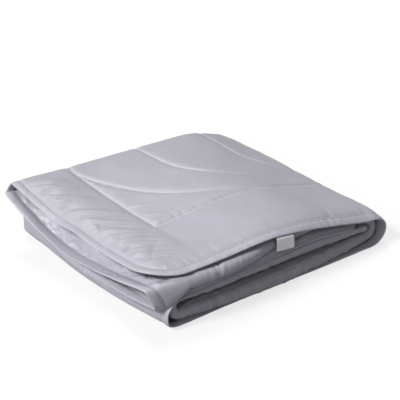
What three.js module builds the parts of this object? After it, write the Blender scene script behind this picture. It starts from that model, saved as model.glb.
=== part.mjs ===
import * as THREE from "three";
import { ParametricGeometry } from "three/addons/geometries/ParametricGeometry.js";
import { mergeGeometries, mergeVertices } from "three/addons/utils/BufferGeometryUtils.js";

// Folded quilted duvet, in millimetres.
// The cloth is folded in thirds across its width, into a strip of three layers, and the strip is
// folded in thirds along its length. The top run starts at the left end, wraps round the right end,
// comes back as the bottom run, turns up at the left end and ends inside as the middle run.
// A place on the cloth is u along the strip, v across the open cloth, and w out of its face.
// Layer 1 of the strip is the outer one, with its bound edge at the front.

// Across the cloth, from the front edge of layer 1 to the hidden edge of layer 3.
const BACK_FOLD_Y = 562;
const FRONT_FOLD_Y = 10;
const HIDDEN_EDGE_Y = 555;
const FOLD_REACH_Y = 8;
const FOLD_LENGTH = 30;

// Along the strip.
const RIGHT_X = 640;
const LEFT_X = 72;
const RIGHT_WRAP_LENGTH = 95;
const LEFT_TURN_LENGTH = 85;
const RIGHT_WRAP_REACH = { middle: 35, perLayer: 15, backShare: 0.7 };
const BACK_CORNER_Y = 430;
const LEFT_TURN_REACH = { middle: 24, perLayer: 14, recess: 0.08 };
const LEFT_SQUARENESS = 0.36;

// Heights in the stack.
const BOTTOM_RUN_HEIGHT = 42;
const BOTTOM_RUN_HEIGHT_RIGHT = 38;
const SLOT = 4;
const MIDDLE_SHARE = 0.5;
const THIN_FROM_X = 420;
const STACK_TOP = [
  { x: 0, front: 132, middle: 134, back: 161 },
  { x: 190, front: 138, middle: 147, back: 154 },
  { x: 330, front: 139, middle: 149, back: 152 },
  { x: 450, front: 128, middle: 139, back: 150 },
  { x: 550, front: 107, middle: 116, back: 140 },
  { x: RIGHT_X, front: 88, middle: 92, back: 106 },
];

// The free ends of the top run, which hang over the recessed left turn.
const OVERHANG_X = 86;
const END_BEND = { layer1: 8, layer3: 55, unit: 100 };
const LAYER2_BEND = { front: 20, back: 10, middle: 44 };
const LAYER2_LONGER = 18;

// The front edge of layer 1 along the strip: how far it stands out, how far it droops, and where
// the fold of layers 2 and 3 lies behind it.
const FRONT_EDGE = [
  { u: 0, out: 0, droop: 4, foldBack: 8 },
  { u: 190, out: 0, droop: 4, foldBack: -2 },
  { u: 330, out: 0, droop: 5, foldBack: 5 },
  { u: 450, out: 0, droop: 13, foldBack: 18 },
  { u: 550, out: 0, droop: 13, foldBack: 26 },
  { u: 640, out: 0, droop: 13, foldBack: 27 },
  { u: 690, out: 0, droop: 5, foldBack: 21 },
  { u: 740, out: 2, droop: 2, foldBack: 13 },
  { u: 820, out: 3, droop: 2, foldBack: 5 },
  { u: 1300, out: 4, droop: 3, foldBack: 0 },
  { u: 1345, out: 6, droop: 8, foldBack: 6 },
  { u: 1388, out: 12, droop: 16, foldBack: 8 },
  { u: 1480, out: 20, droop: 11, foldBack: 4 },
  { u: 1640, out: 20, droop: 5, foldBack: 0 },
  { u: 1940, out: 20, droop: 3, foldBack: 5 },
];
const DROOP_WIDTH = 50;
const OUT_WIDTH = 150;
const FOLD_BACK_WIDTH = 120;

// The cloth's thickness and its sewn channels.
const FILL_SHARE = 0.44;
const MOST_HALF_THICK = 6.2;
const SOFT_EDGE = 45;
const PUFF = 3.5;
const PUFF_END = { before: 45, over: 30 };
const STITCH_DEPTH = 0.55;
const STITCH_WIDTH = 15;
const FOLD_SQUEEZE = 0.82;
const BORDER_U = 185;
const BORDER_V = 224;
const ARC_RADIUS = 330;
const ARC_PITCH = 210;

// The edge binding and the rounded corners of the cloth.
const BINDING_WIDTH = 22;
const BINDING_GAP = 0.3;
const CORNER_RADIUS = 88;
const RIM_HALF_THICK = 2.6;
const BINDING_SECTION = [
  { in: BINDING_WIDTH - BINDING_GAP, half: 2.5 },
  { in: 11, half: 3.3 },
  { in: 2, half: 2.6 },
  { in: 0, half: 0.9 },
];

// The loop label at the front edge of the top layer.
const LABEL = { u: 363, wide: 50, drop: 31, thick: 1.4, standOff: 1.2, tuck: 5 };

const SURFACES = {
  duvet: { color: 0xb7b4c0, roughness: 0.48, metalness: 0 },
  binding: { color: 0xa9a5b3, roughness: 0.42, metalness: 0 },
  label: { color: 0xaeadb5, roughness: 0.7, metalness: 0 },
};

const { clamp, lerp, smoothstep, degToRad } = THREE.MathUtils;

// Runs along the strip and panels across the cloth, with the steps that the solid takes on each.
const RUNS = [
  { name: "top", length: RIGHT_X, steps: 19 },
  { name: "right wrap", length: RIGHT_WRAP_LENGTH, steps: 8 },
  { name: "bottom", length: RIGHT_X - LEFT_X, steps: 8 },
  { name: "left turn", length: LEFT_TURN_LENGTH, steps: 8 },
  { name: "middle", length: RIGHT_X - LEFT_X - 5, steps: 8 },
];
const PANELS = [
  { name: "layer 1", length: BACK_FOLD_Y, steps: 16 },
  { name: "back fold", length: FOLD_LENGTH, steps: 6 },
  { name: "layer 2", length: BACK_FOLD_Y - FRONT_FOLD_Y, steps: 7 },
  { name: "front fold", length: FOLD_LENGTH, steps: 6 },
  { name: "layer 3", length: HIDDEN_EDGE_Y - FRONT_FOLD_Y, steps: 7 },
];
const totalOf = (pieces) => pieces.reduce((sum, piece) => sum + piece.length, 0);
const CLOTH_LENGTH = totalOf(RUNS);
const MIDDLE_START_U = CLOTH_LENGTH - RUNS.at(-1).length;
const CLOTH_WIDTH = totalOf(PANELS);

// The stack's own weight presses the cloth flat at this level, which is the surface it rests on.
const REST_LEVEL = 1.2;
const CENTRE = new THREE.Vector3(341, 277.45, REST_LEVEL);

// A table's columns as one smooth function of its first column.
function smoothTable(table, key, columns) {
  const values = table.flatMap((row) => columns.map((column) => row[column]));
  const curve = new THREE.CubicInterpolant(table.map((row) => row[key]), values, columns.length);
  return (at) => {
    const found = curve.evaluate(at);
    return Object.fromEntries(columns.map((column, i) => [column, found[i]]));
  };
}
const stackTop = smoothTable(STACK_TOP, "x", ["front", "middle", "back"]);
const frontEdge = smoothTable(FRONT_EDGE, "u", ["out", "droop", "foldBack"]);

// Which piece of a row of runs or panels holds a length, and how far along it.
function locate(pieces, length) {
  let rest = length;
  for (const piece of pieces) {
    if (rest <= piece.length || piece === pieces[pieces.length - 1]) {
      return { name: piece.name, along: rest, share: rest / piece.length };
    }
    rest -= piece.length;
  }
}

// The height of the whole stack, and of a layer in each run. Layer 1 is n = 1 and layer 3 is n = -1.
function topHeight(x, y) {
  const { front, middle, back } = stackTop(clamp(x, 0, RIGHT_X));
  const t = clamp(y / BACK_FOLD_Y, 0, 1);
  return lerp(front, back, t) + (2 * middle - front - back) * 2 * t * (1 - t);
}
function bottomRunTop(x) {
  return lerp(BOTTOM_RUN_HEIGHT, BOTTOM_RUN_HEIGHT_RIGHT, smoothstep(x, THIN_FROM_X, RIGHT_X));
}
function middleRunTop(x, y) {
  const floor = bottomRunTop(x) + SLOT;
  return floor + (topHeight(x, y) - floor) * MIDDLE_SHARE;
}
function topLevel(x, y, n) {
  const floor = middleRunTop(x, y);
  return floor + ((topHeight(x, y) - floor) * (n + 1.5)) / 3;
}
function middleLevel(x, y, n) {
  const floor = bottomRunTop(x) + SLOT;
  return floor + ((middleRunTop(x, y) - floor) * (n + 1.5)) / 3;
}
function bottomLevel(x, y, n) {
  return (bottomRunTop(x) * (1.5 - n)) / 3;
}

// How sharply a layer's free end bends down over the left turn, in radians for each millimetre.
function endBend(y, n) {
  const t = clamp(y / BACK_FOLD_Y, 0, 1);
  const { front, back, middle } = LAYER2_BEND;
  const layer2 = lerp(front, back, t) + middle * Math.sin(Math.PI * t ** 1.2) ** 1.2;
  const outer = n > 0 ? END_BEND.layer1 : Math.max(END_BEND.layer3, layer2 + 4);
  return degToRad(lerp(layer2, outer, Math.abs(n))) / END_BEND.unit;
}

// A half turn from straight down to straight up, squarer than a half circle below its middle for the
// outer layers, which lie flat on the surface.
function leftTurn(share, n) {
  const cosine = Math.cos(Math.PI * share);
  const power = cosine > 0 ? 1 - (LEFT_SQUARENESS * clamp(n + 1, 0, 2)) / 2 : 1;
  const out = Math.max(Math.sin(Math.PI * share), 0) ** power;
  return { out, up: -Math.sign(cosine) * Math.abs(cosine) ** power };
}

// A point of the strip's own middle surfaces: u along it, y across the stack, n its layer.
function stripPoint(u, y, n) {
  const run = locate(RUNS, u);
  if (run.name === "top") {
    const longer = LAYER2_LONGER * (1 - Math.abs(clamp(n, -1, 1))) * smoothstep(120 - u, 0, 120);
    const x = u - longer;
    const z = topLevel(x, y, n);
    if (x >= OVERHANG_X) return new THREE.Vector3(x, y, z);
    const bend = endBend(y, n);
    const turned = bend * (OVERHANG_X - x);
    const drop = (1 - Math.cos(turned)) / bend;
    return new THREE.Vector3(OVERHANG_X - Math.sin(turned) / bend, y, z - drop);
  }
  if (run.name === "right wrap") {
    const above = topLevel(RIGHT_X, y, n);
    const below = bottomLevel(RIGHT_X, y, n);
    const { middle, perLayer, backShare } = RIGHT_WRAP_REACH;
    const rounded = lerp(1, backShare, smoothstep(y, BACK_CORNER_Y, BACK_FOLD_Y));
    const reach = (middle + perLayer * n) * rounded;
    const angle = Math.PI * run.share;
    const z = (above + below) / 2 + ((above - below) / 2) * Math.cos(angle);
    return new THREE.Vector3(RIGHT_X + reach * Math.sin(angle), y, z);
  }
  if (run.name === "bottom") {
    const x = RIGHT_X - run.along;
    return new THREE.Vector3(x, y, bottomLevel(x, y, n));
  }
  if (run.name === "left turn") {
    const above = middleLevel(LEFT_X, y, n);
    const below = bottomLevel(LEFT_X, y, n);
    const { middle, perLayer, recess } = LEFT_TURN_REACH;
    const recessed = 1 - recess * Math.sin(Math.PI * clamp(y / BACK_FOLD_Y, 0, 1));
    const { out, up } = leftTurn(run.share, n);
    const x = LEFT_X - (middle + perLayer * n) * recessed * out;
    return new THREE.Vector3(x, y, (above + below) / 2 + ((above - below) / 2) * up);
  }
  const x = LEFT_X + run.along;
  return new THREE.Vector3(x, y, middleLevel(x, y, n));
}

// The place across the stack, and the layer, of a length across the open cloth.
function acrossAt(v) {
  const panel = locate(PANELS, v);
  if (panel.name === "layer 1") return { y: panel.along, n: 1 };
  if (panel.name === "layer 2") return { y: BACK_FOLD_Y - panel.along, n: 0 };
  if (panel.name === "layer 3") return { y: FRONT_FOLD_Y + panel.along, n: -1 };
  const angle = Math.PI * panel.share;
  const half = Math.cos(angle) / 2;
  if (panel.name === "back fold") {
    return { y: BACK_FOLD_Y + FOLD_REACH_Y * Math.sin(angle), n: 0.5 + half };
  }
  return { y: FRONT_FOLD_Y - FOLD_REACH_Y * Math.sin(angle), n: half - 0.5 };
}

// A point of the cloth's middle surface.
function clothPoint(u, v, layerShift = 0) {
  const { y, n } = acrossAt(v);
  const edge = frontEdge(u);
  const near = (width) => clamp(1 - v / width, 0, 1) ** 2;
  const behind = n <= 0 ? clamp(1 - (y - FRONT_FOLD_Y) / FOLD_BACK_WIDTH, 0, 1.2) : 0;
  const point = stripPoint(u, y, n + layerShift);
  point.y += edge.foldBack * behind - edge.out * near(OUT_WIDTH);
  point.z -= edge.droop * near(DROOP_WIDTH);
  return point;
}

// The cloth's face direction at a point, and the spacing of the layers there.
const PROBE = 1;
const LAYER_PROBE = 0.05;
function faceDirection(u, v) {
  const [u0, u1] = [Math.max(u - PROBE, 0), Math.min(u + PROBE, CLOTH_LENGTH)];
  const [v0, v1] = [Math.max(v - PROBE, 0), Math.min(v + PROBE, CLOTH_WIDTH)];
  const alongU = clothPoint(u1, v).sub(clothPoint(u0, v));
  const alongV = clothPoint(u, v1).sub(clothPoint(u, v0));
  return alongU.cross(alongV).normalize();
}
function layerSpacing(u, v) {
  const [u0, u1] = [Math.max(u - PROBE, 0), Math.min(u + PROBE, CLOTH_LENGTH)];
  const ahead = clothPoint(u1, v).sub(clothPoint(u0, v)).normalize();
  const lifted = clothPoint(u, v, LAYER_PROBE).sub(clothPoint(u, v, -LAYER_PROBE));
  return lifted.cross(ahead).length() / (2 * LAYER_PROBE);
}

// How far inside the rounded outline of the open cloth a place lies.
function insideEdge(u, v) {
  const fromU = Math.abs(u - CLOTH_LENGTH / 2) - (CLOTH_LENGTH / 2 - CORNER_RADIUS);
  const fromV = Math.abs(v - CLOTH_WIDTH / 2) - (CLOTH_WIDTH / 2 - CORNER_RADIUS);
  const outside = Math.hypot(Math.max(fromU, 0), Math.max(fromV, 0));
  return CORNER_RADIUS - outside - Math.min(Math.max(fromU, fromV), 0);
}

// The distance to the nearest line of stitches: a border inside the edge, and nested half rings.
function stitchDistance(u, v) {
  const uIn = Math.min(u, CLOTH_LENGTH - u) - BORDER_U;
  const vIn = Math.min(v, CLOTH_WIDTH - v) - BORDER_V;
  const border = Math.min(uIn, vIn);
  if (border <= 0) {
    const beyond = Math.hypot(Math.min(uIn, 0), Math.min(vIn, 0));
    return beyond;
  }
  const rowHeight = (CLOTH_WIDTH - 2 * BORDER_V) / 2;
  const dv = ((v - BORDER_V) % rowHeight) - rowHeight / 2;
  const squashed = dv * ((2 * ARC_RADIUS) / rowHeight);
  const reach = ARC_RADIUS ** 2 - squashed ** 2;
  const bow = u - BORDER_U - ARC_RADIUS + Math.sqrt(Math.max(reach, 0));
  const nearest = Math.round(bow / ARC_PITCH) * ARC_PITCH;
  const slope = Math.sqrt(Math.max(reach, 0)) / ARC_RADIUS;
  return Math.min(border, bow < -ARC_PITCH / 2 ? border : Math.abs(bow - nearest) * slope);
}

// The most half thickness that the spacing of the layers leaves, less where a fold turns tightly.
function roomFor(u, v) {
  const spacing = layerSpacing(u, v);
  const level = FILL_SHARE * spacing;
  const folds = [BACK_FOLD_Y, CLOTH_WIDTH - (HIDDEN_EDGE_Y - FRONT_FOLD_Y) - FOLD_LENGTH];
  const away = Math.min(...folds.map((at) => Math.abs(v - at - FOLD_LENGTH / 2))) - FOLD_LENGTH / 2;
  const inFold = (FOLD_SQUEEZE * (spacing / 2) ** 2) / FOLD_REACH_Y;
  return Math.min(level, lerp(inFold, level, clamp(away / FOLD_LENGTH, 0, 1)), MOST_HALF_THICK);
}

// How far the cloth's face and back stand off its middle surface. The face puffs up where no layer
// lies on it, which is on layer 1 outside the middle run.
function halfThickness(u, v) {
  const inside = clamp((insideEdge(u, v) - BINDING_WIDTH) / SOFT_EDGE, 0, 1);
  const full = roomFor(u, v);
  const soft = lerp(Math.min(RIM_HALF_THICK, full), full, Math.sqrt(inside));
  const stitch = Math.exp(-((stitchDistance(u, v) / STITCH_WIDTH) ** 2));
  const half = soft * (1 - STITCH_DEPTH * stitch);
  const ahead = MIDDLE_START_U - PUFF_END.before - u;
  const free = smoothstep(ahead, 0, PUFF_END.over) * smoothstep(BACK_FOLD_Y - v, 0, SOFT_EDGE);
  return { face: half + PUFF * free * inside * (1 - stitch), back: half };
}

// Places where the solid has its points: the ends of the cloth, the corners' arcs and even steps.
function stations(pieces, inset) {
  const inner = CORNER_RADIUS - inset;
  const corner = [0, 20, 40, 62, 90].map((angle) => inner * (1 - Math.cos(degToRad(angle))));
  const total = totalOf(pieces);
  const places = [];
  let start = 0;
  for (const { length, steps } of pieces) {
    for (let i = 0; i < steps; i += 1) places.push(start + (length * i) / steps);
    start += length;
  }
  const between = places.filter((p) => p > inset + inner + 12 && p < total - inset - inner - 12);
  const before = corner.map((p) => inset + p);
  return [...before, ...between, ...before.map((p) => total - p).reverse()];
}

// The inset outline's lowest v at a u, and the place across for a nominal one.
function outlineStart(u, inset) {
  const inner = CORNER_RADIUS - inset;
  const into = clamp(CORNER_RADIUS - Math.min(u, CLOTH_LENGTH - u), 0, inner);
  return CORNER_RADIUS - Math.sqrt(inner ** 2 - into ** 2);
}
const EASE_WIDTH = 160;
function easedAcross(u, v, inset) {
  const start = outlineStart(u, inset);
  const fromEdge = Math.min(v, CLOTH_WIDTH - v);
  if (fromEdge >= EASE_WIDTH) return v;
  const eased = start + ((fromEdge - inset) * (EASE_WIDTH - start)) / (EASE_WIDTH - inset);
  return v < CLOTH_WIDTH / 2 ? eased : CLOTH_WIDTH - eased;
}

const BODY_INSET = BINDING_WIDTH;
const U_STATIONS = stations(RUNS, BODY_INSET);
const V_STATIONS = stations(PANELS, BODY_INSET);

// A grid of points as a geometry, its faces towards the cross product of rows and columns.
function gridGeometry(points) {
  const rows = points.length - 1;
  const columns = points[0].length - 1;
  const pick = (s, t, target) => {
    target.copy(points[Math.round(s * rows)][Math.round(t * columns)]);
  };
  return new ParametricGeometry(pick, rows, columns);
}

// Grids joined along the points that they share, without the faces that have shrunk to a line.
function closedGeometry(grids) {
  const parts = grids.map((grid) => {
    const geometry = gridGeometry(grid);
    geometry.deleteAttribute("normal");
    geometry.deleteAttribute("uv");
    return geometry;
  });
  const joined = mergeVertices(mergeGeometries(parts), 1e-3);
  const corners = joined.getIndex().array;
  const kept = [];
  for (let i = 0; i < corners.length; i += 3) {
    const [a, b, c] = [corners[i], corners[i + 1], corners[i + 2]];
    if (a !== b && b !== c && c !== a) kept.push(a, b, c);
  }
  joined.setIndex(kept);
  joined.translate(-CENTRE.x, -CENTRE.y, -CENTRE.z);
  joined.computeVertexNormals();
  return joined;
}

function surfacePoint(u, v, offset) {
  const point = clothPoint(u, v).addScaledVector(faceDirection(u, v), offset);
  point.z = Math.max(point.z, REST_LEVEL);
  return point;
}

// The quilted body: its face, its back, and between them a rim at the binding's seam.
function duvetGeometry() {
  const lastU = U_STATIONS.length - 1;
  const lastV = V_STATIONS.length - 1;
  const grids = [1, -1].map((side) => {
    const rows = [];
    for (let i = -1; i <= lastU + 1; i += 1) {
      const u = U_STATIONS[clamp(i, 0, lastU)];
      const row = [];
      for (let j = -1; j <= lastV + 1; j += 1) {
        const onRim = i < 0 || j < 0 || i > lastU || j > lastV;
        const v = easedAcross(u, V_STATIONS[clamp(j, 0, lastV)], BODY_INSET);
        const { face, back } = halfThickness(u, v);
        const offset = side > 0 ? face : -back;
        row.push(surfacePoint(u, v, onRim ? 0 : offset));
      }
      rows.push(side > 0 ? row : row.reverse());
    }
    return rows;
  });
  return closedGeometry(grids);
}

// The body's outline once round, as places with the direction out of the cloth.
function outline() {
  const places = [];
  const add = (u, v) => {
    const centreU = clamp(u, CORNER_RADIUS, CLOTH_LENGTH - CORNER_RADIUS);
    const centreV = clamp(v, CORNER_RADIUS, CLOTH_WIDTH - CORNER_RADIUS);
    const out = new THREE.Vector2(u - centreU, v - centreV).normalize();
    places.push({ u, v, out });
  };
  const firstU = U_STATIONS[0];
  const endU = U_STATIONS[U_STATIONS.length - 1];
  const low = V_STATIONS[0];
  const high = V_STATIONS[V_STATIONS.length - 1];
  const inner = V_STATIONS.slice(1, -1);
  for (const u of U_STATIONS) add(u, easedAcross(u, low, BODY_INSET));
  for (const v of inner) add(endU, easedAcross(endU, v, BODY_INSET));
  for (const u of [...U_STATIONS].reverse()) add(u, easedAcross(u, high, BODY_INSET));
  for (const v of [...inner].reverse()) add(firstU, easedAcross(firstU, v, BODY_INSET));
  return places;
}

// The binding: one closed tape round the whole edge.
function bindingGeometry() {
  const halves = BINDING_SECTION;
  const section = [
    ...halves.map(({ in: inward, half }) => ({ inward, offset: half })),
    ...[...halves].reverse().map(({ in: inward, half }) => ({ inward, offset: -half })),
  ];
  const ring = [...section, section[0]];
  const places = outline();
  const rows = [places[0], ...places.reverse()].map(({ u, v, out }) =>
    ring.map(({ inward, offset }) => {
      const reach = BINDING_WIDTH - inward;
      const [atU, atV] = [u + out.x * reach, v + out.y * reach];
      const room = roomFor(atU, atV);
      return surfacePoint(atU, atV, clamp(offset, -room, room));
    }),
  );
  return closedGeometry([rows]);
}

// The label: a tape folded double, from under the top layer's bound edge down the front.
function labelGeometry() {
  const { u, wide, drop, thick, standOff, tuck } = LABEL;
  const edge = clothPoint(u, 0);
  const under = edge.z - BINDING_SECTION[1].half - BINDING_GAP - 0.5;
  const front = edge.y - standOff;
  const profile = new THREE.Shape([
    new THREE.Vector2(edge.y + tuck, under),
    new THREE.Vector2(edge.y + tuck, under - thick),
    new THREE.Vector2(front - thick / 2, under - thick),
    new THREE.Vector2(front - thick, under - 2 * thick),
    new THREE.Vector2(front - 2 * thick, under - drop),
    new THREE.Vector2(front - 2.7 * thick, under - drop - thick / 2),
    new THREE.Vector2(front - 3.4 * thick, under - drop),
    new THREE.Vector2(front - 2.2 * thick, under - thick),
    new THREE.Vector2(front - thick, under),
  ]);
  const geometry = new THREE.ExtrudeGeometry(profile, { depth: wide, bevelEnabled: false, steps: 1 });
  geometry.translate(0, 0, -wide / 2);
  const ahead = clothPoint(u + wide, 0).sub(clothPoint(u - wide, 0));
  const slope = Math.atan2(ahead.z, ahead.x);
  const upright = new THREE.Matrix4().makeBasis(
    new THREE.Vector3(0, 1, 0),
    new THREE.Vector3(0, 0, 1),
    new THREE.Vector3(1, 0, 0),
  );
  geometry.applyMatrix4(upright);
  geometry.translate(0, 0, -edge.z);
  geometry.rotateY(-slope);
  geometry.translate(edge.x - CENTRE.x, -CENTRE.y, edge.z);
  return geometry;
}

function part(name, geometry) {
  const mesh = new THREE.Mesh(geometry, new THREE.MeshStandardMaterial(SURFACES[name]));
  mesh.name = name;
  return mesh;
}

const group = new THREE.Group();
group.add(part("duvet", duvetGeometry()));
group.add(part("binding", bindingGeometry()));
group.add(part("label", labelGeometry()));

export default group;
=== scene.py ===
import math

import bmesh
import bpy
import numpy as np
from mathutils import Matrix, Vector


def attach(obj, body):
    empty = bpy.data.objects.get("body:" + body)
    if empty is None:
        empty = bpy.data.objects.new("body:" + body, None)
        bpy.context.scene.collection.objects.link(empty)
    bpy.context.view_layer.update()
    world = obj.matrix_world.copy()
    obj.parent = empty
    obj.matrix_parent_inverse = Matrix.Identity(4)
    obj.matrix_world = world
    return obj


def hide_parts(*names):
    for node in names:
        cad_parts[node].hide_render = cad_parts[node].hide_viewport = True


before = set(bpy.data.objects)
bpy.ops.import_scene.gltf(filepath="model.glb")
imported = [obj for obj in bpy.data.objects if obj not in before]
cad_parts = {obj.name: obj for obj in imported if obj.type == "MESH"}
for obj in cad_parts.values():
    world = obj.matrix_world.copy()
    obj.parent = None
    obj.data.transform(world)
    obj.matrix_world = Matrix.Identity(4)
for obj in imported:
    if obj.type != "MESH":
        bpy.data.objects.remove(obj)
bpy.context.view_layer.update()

# A thin quilted duvet, folded in thirds both ways, with its bound edge at the front.
# Lengths are in millimetres until a piece is finished, and then in metres. In the stack's own
# frame x runs to the right, y to the back and z up, from the front left corner.
MM = 0.001
REST_LEVEL = 1.2
CENTRE = np.array([341.0, 277.45, REST_LEVEL])


def add_object(name, data):
    made = bpy.data.objects.new(name, data)
    bpy.context.scene.collection.objects.link(made)
    return made


def turn_towards(made, direction, track):
    made.rotation_mode = "QUATERNION"
    made.rotation_quaternion = direction.to_track_quat(track, "Y")


def mesh_of(name, bm):
    mesh = bpy.data.meshes.new(name)
    bm.to_mesh(mesh)
    bm.free()
    return mesh


# Camera
CAMERA = {"azimuth": -38.8, "elevation": 25.5, "distance": 3.4, "lens": 124.55}
CAMERA_TARGET = Vector((0.071, 0.08655, 0.0588))


def add_camera():
    data = bpy.data.cameras.new("camera")
    camera = add_object("camera", data)
    turn, rise = math.radians(CAMERA["azimuth"]), math.radians(CAMERA["elevation"])
    level = math.cos(rise)
    back = Vector((math.sin(turn) * level, -math.cos(turn) * level, math.sin(rise)))
    camera.location = CAMERA_TARGET + back * CAMERA["distance"]
    turn_towards(camera, -back, "-Z")
    data.sensor_width = 36.0
    data.lens = CAMERA["lens"]
    data.clip_start = 0.1
    data.clip_end = 50.0
    bpy.context.scene.camera = camera


add_camera()

# Seeded smooth noise for the uneven lie of the cloth
LATTICE_SIZE = 256
LATTICE = np.random.default_rng(1207).uniform(-1.0, 1.0, (LATTICE_SIZE, LATTICE_SIZE))


def noise(a, b):
    """Smooth noise between -1 and 1 that changes over about one unit of a and of b."""
    a, b = np.broadcast_arrays(np.asarray(a, float), np.asarray(b, float))
    i, j = np.floor(a).astype(int), np.floor(b).astype(int)
    s, t = a - i, b - j
    s, t = s * s * s * (s * (6 * s - 15) + 10), t * t * t * (t * (6 * t - 15) + 10)
    at = lambda p, q: LATTICE[p % LATTICE_SIZE, q % LATTICE_SIZE]
    low = at(i, j) * (1 - s) + at(i + 1, j) * s
    high = at(i, j + 1) * (1 - s) + at(i + 1, j + 1) * s
    return low * (1 - t) + high * t


def smoothstep(x, low, high):
    t = np.clip((x - low) / (high - low), 0.0, 1.0)
    return t * t * (3 - 2 * t)


def mix(a, b, t):
    return a + (b - a) * t


def smooth_table(table, at, column=1):
    """A table's column as one smooth function of its first column, level past both ends."""
    xs = np.array([row[0] for row in table], float)
    ys = np.array([row[column] for row in table], float)
    slopes = np.gradient(ys, xs)
    i = np.clip(np.searchsorted(xs, at) - 1, 0, len(xs) - 2)
    h = xs[i + 1] - xs[i]
    t = np.clip((at - xs[i]) / h, 0.0, 1.0)
    rest = 1 - t
    return (
        ys[i] * (1 + 2 * t) * rest**2
        + ys[i + 1] * t**2 * (3 - 2 * t)
        + h * slopes[i] * t * rest**2
        - h * slopes[i + 1] * t**2 * rest
    )


# The way the cloth is folded: u runs along the strip, v across the open cloth, and n is the layer
# of the strip, 1 for the outer one and -1 for the hidden one.
BACK_FOLD_Y = 562.0
FRONT_FOLD_Y = 10.0
HIDDEN_EDGE_Y = 555.0
FOLD_REACH = 8.0
# How round the front folds are: 1 is a half circle, and less is squarer
FOLD_SQUARE = {"top": 0.8, "below": 0.5}
FOLD_SLANT = [
    # u, how much further forward the third layer comes at the front fold
    (0, 9),
    (90, 9),
    (190, 7),
    (300, 3),
    (400, 0),
    (1940, 0),
]
SLANT_BACK = 0.4  # the share of it by which the second layer goes back
FOLD_LENGTH = 30.0
RIGHT_X = 640.0
LEFT_X = 72.0
WRAP_LENGTH = 95.0
TURN_LENGTH = 85.0
RUN_ENDS = np.cumsum([RIGHT_X, WRAP_LENGTH, RIGHT_X - LEFT_X, TURN_LENGTH, RIGHT_X - LEFT_X - 5.0])
PANEL_ENDS = np.cumsum(
    [
        BACK_FOLD_Y,
        FOLD_LENGTH,
        BACK_FOLD_Y - FRONT_FOLD_Y,
        FOLD_LENGTH,
        HIDDEN_EDGE_Y - FRONT_FOLD_Y,
    ]
)
CLOTH_LENGTH = RUN_ENDS[-1]
CLOTH_WIDTH = PANEL_ENDS[-1]
WRAP_REACH = {"middle": 35.0, "layer": 15.0, "back": 0.7, "from_y": 430.0}
TURN_REACH = {"middle": 24.0, "layer": 14.0, "square": 0.36}
TURN_SPREAD = [
    # y, share of the reach
    (0, 1.2),
    (50, 1.22),
    (110, 1.3),
    (220, 1.33),
    (320, 1.28),
    (420, 1.1),
    (500, 1.0),
    (BACK_FOLD_Y, 1.0),
]
BOTTOM_HEIGHT = {"left": 42.0, "right": 38.0, "from_x": 420.0}
SLOT = 4.0
MIDDLE_SHARE = [
    # x, the middle run's share of the height above the slot
    (0, 0.5),
    (160, 0.5),
    (252, 0.53),
    (340, 0.55),
    (430, 0.6),
    (520, 0.66),
    (RIGHT_X, 0.57),
]
STACK_TOP = [
    # x, front, middle, back
    (0, 132, 122, 159),
    (190, 134, 131, 150),
    (330, 138, 143, 146),
    (450, 128, 139, 142),
    (550, 107, 116, 135),
    (RIGHT_X, 88, 92, 108),
]
OVERHANG_X = 86.0
TOP_LAYER_BEND = 8.0
BEND_LENGTH = 100.0
LAYER2_END = {"from_x": 66.0, "first": 24.0, "last": 14.0, "ledge": 23.0}
LAYER3_END = {"from_x": 86.0, "first": 16.0, "last": 14.0, "ledge": 23.0}
LAYER2_SIDE = [
    # y, steepest angle, angle at the edge, length from where it bends
    (0, 6, -3, 83),
    (60, 12, -3, 82),
    (150, 32, -3, 82),
    (250, 63, -3, 90),
    (325, 71, -3, 97),
    (400, 58, -3, 93),
    (480, 28, -3, 85),
    (BACK_FOLD_Y, 2, -3, 83),
]
LAYER3_SIDE = [
    # as above, for the third layer
    (0, 37, 2, 94),
    (100, 41, 2, 98),
    (250, 42, 2, 98),
    (300, 54, 2, 94),
    (350, 64, 2, 93),
    (410, 61, 2, 91),
    (480, 39, 2, 90),
    (BACK_FOLD_Y, 3, 2, 92),
]
LONGER_WIDTH = 120.0
LEFT_SQUASH = [
    # y, how much lower the two lower runs lie near their left fold
    (0, 0.0),
    (60, 0.04),
    (120, 0.2),
    (200, 0.36),
    (300, 0.45),
    (400, 0.42),
    (480, 0.25),
    (BACK_FOLD_Y, 0.1),
]
SQUASH_FROM = 60.0
SQUASH_TO = 210.0
FRONT_EDGE = [
    # u, out, droop, fold back, roll in degrees
    (0, 0, 4, 6, 0),
    (60, 0, 4, -6, 0),
    (190, 0, 4, -12, 0),
    (270, 0, 4, -7, 0),
    (335, 0, 5, 7, 0),
    (450, 0, 13, 14, 0),
    (550, 0, 13, 26, 0),
    (640, 0, 13, 27, 0),
    (690, 0, 5, 21, 0),
    (740, 2, 2, 13, 0),
    (820, 3, 2, 5, 0),
    (1280, 4, 3, 0, 0),
    (1320, 6, 3, 3, 0),
    (1345, 8, 4, 6, 10),
    (1388, 10, 3, 8, 52),
    (1450, 12, 0, 5, 72),
    (1568, 11, -2, 5, 68),
    (1656, 10, -5, 5, 60),
    (1746, 8, -7, 7, 50),
    (1856, 6, -6, 8, 40),
    (1940, 6, -4, 8, 36),
]
DROOP_WIDTH = 50.0
OUT_WIDTH = 150.0
FOLD_BACK_WIDTH = 120.0
FOLD_BACK_MOST = 1.2
ROLL = {"first": 10.0, "last": 3.0, "ledge": 3.0, "length": 25.0, "edge": 5.0}
FOLD_HANG = [
    # u, how much lower the third layer's front fold hangs, in layers
    (0, 0.0),
    (60, 0.1),
    (190, 0.35),
    (450, 0.4),
    (560, 0.3),
    (640, 0.1),
    (700, 0.0),
    (1940, 0.0),
]
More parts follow.
